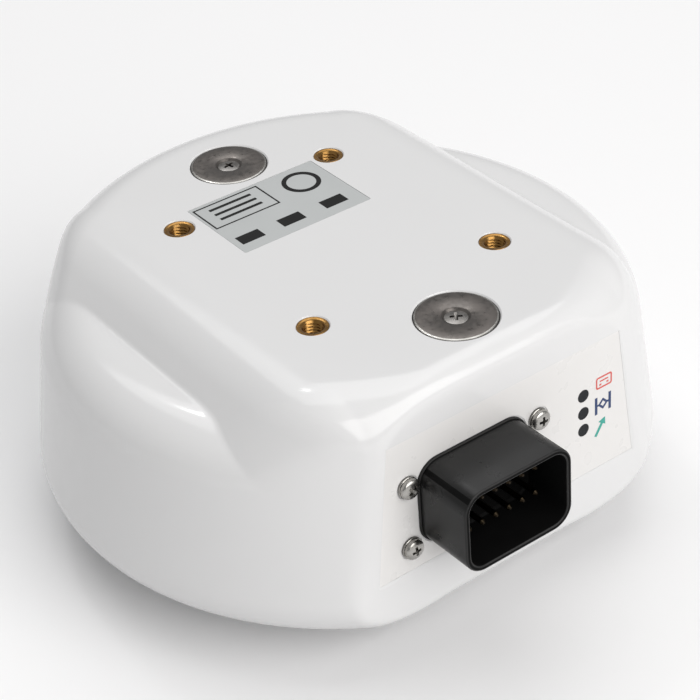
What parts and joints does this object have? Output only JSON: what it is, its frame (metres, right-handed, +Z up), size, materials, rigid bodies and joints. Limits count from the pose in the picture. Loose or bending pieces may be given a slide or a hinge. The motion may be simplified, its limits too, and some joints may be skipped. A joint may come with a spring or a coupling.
{
  "type": "gnss receiver",
  "caption": "Round roof-mount satellite positioning receiver with a domed radome, a flat magnetic mounting face and a multi-way connector in its side.",
  "frame": {"origin": "on the body's axis, at the crown of the radome, which is what the receiver rests on", "axes": "+Z up out of the mounting face, -Y out of the connector face, X across the connector face"},
  "size_m": [0.1514, 0.1531, 0.0697],
  "materials": {
    "white_shell": "white gloss, moulded",
    "black_shroud": "black satin, moulded",
    "seal_rubber": "black",
    "label_silver": "metallised film, satin",
    "label_print": "black print",
    "label_white": "off-white printed film",
    "print_red": "red print",
    "print_blue": "dark blue print",
    "print_green": "green print",
    "magnet_nickel": "dark nickel plate",
    "screw_steel": "stainless",
    "insert_brass": "machined",
    "pin_gold": "gold flash",
    "light_window": "smoked clear",
    "led_lens": "clear lens",
    "board_green": "green solder mask",
    "flex_cream": "cream ribbon",
    "can_tin": "tin plate",
    "chip_black": "moulded epoxy",
    "coil_grey": "dark grey ferrite",
    "capacitor_can": "plain can",
    "ceramic": "sintered ceramic with a silvered face",
    "plane_gold": "gold-plated board",
    "cable_black": "black jacket"
  },
  "bodies": {
    "root": {"housing": "white_shell", "radome": "white_shell", "housing_seal": "seal_rubber", "rating_label": "label_silver", "rating_print": "label_print", "face_label": "label_white", "icon_receiver": "print_red", "icon_link": "print_blue", "icon_fix": "print_green", "magnet_near": "magnet_nickel", "magnet_far": "magnet_nickel", "magnet_screws": "screw_steel", "mounting_inserts": "insert_brass", "connector_shroud": "black_shroud", "connector_gasket": "seal_rubber", "connector_pins": "pin_gold", "connector_screws": "screw_steel", "connector_washers": "screw_steel", "light_pipes": "light_window", "status_leds": "led_lens", "front_board": "board_green", "front_board_screws": "screw_steel", "board_link": "flex_cream", "main_board": "board_green", "main_board_screws": "screw_steel", "receiver_module": "can_tin", "processor": "chip_black", "memory_chip": "chip_black", "crystal": "can_tin", "power_coils": "coil_grey", "power_capacitors": "capacitor_can", "backup_cell": "can_tin", "ground_plane": "plane_gold", "plane_spacers": "insert_brass", "plane_screws": "screw_steel", "patch_lower": "ceramic", "patch_upper": "ceramic", "feed_pins": "pin_gold", "lna_shield": "can_tin", "antenna_cable": "cable_black", "cable_plugs": "pin_gold"}
  },
  "joints": []
}
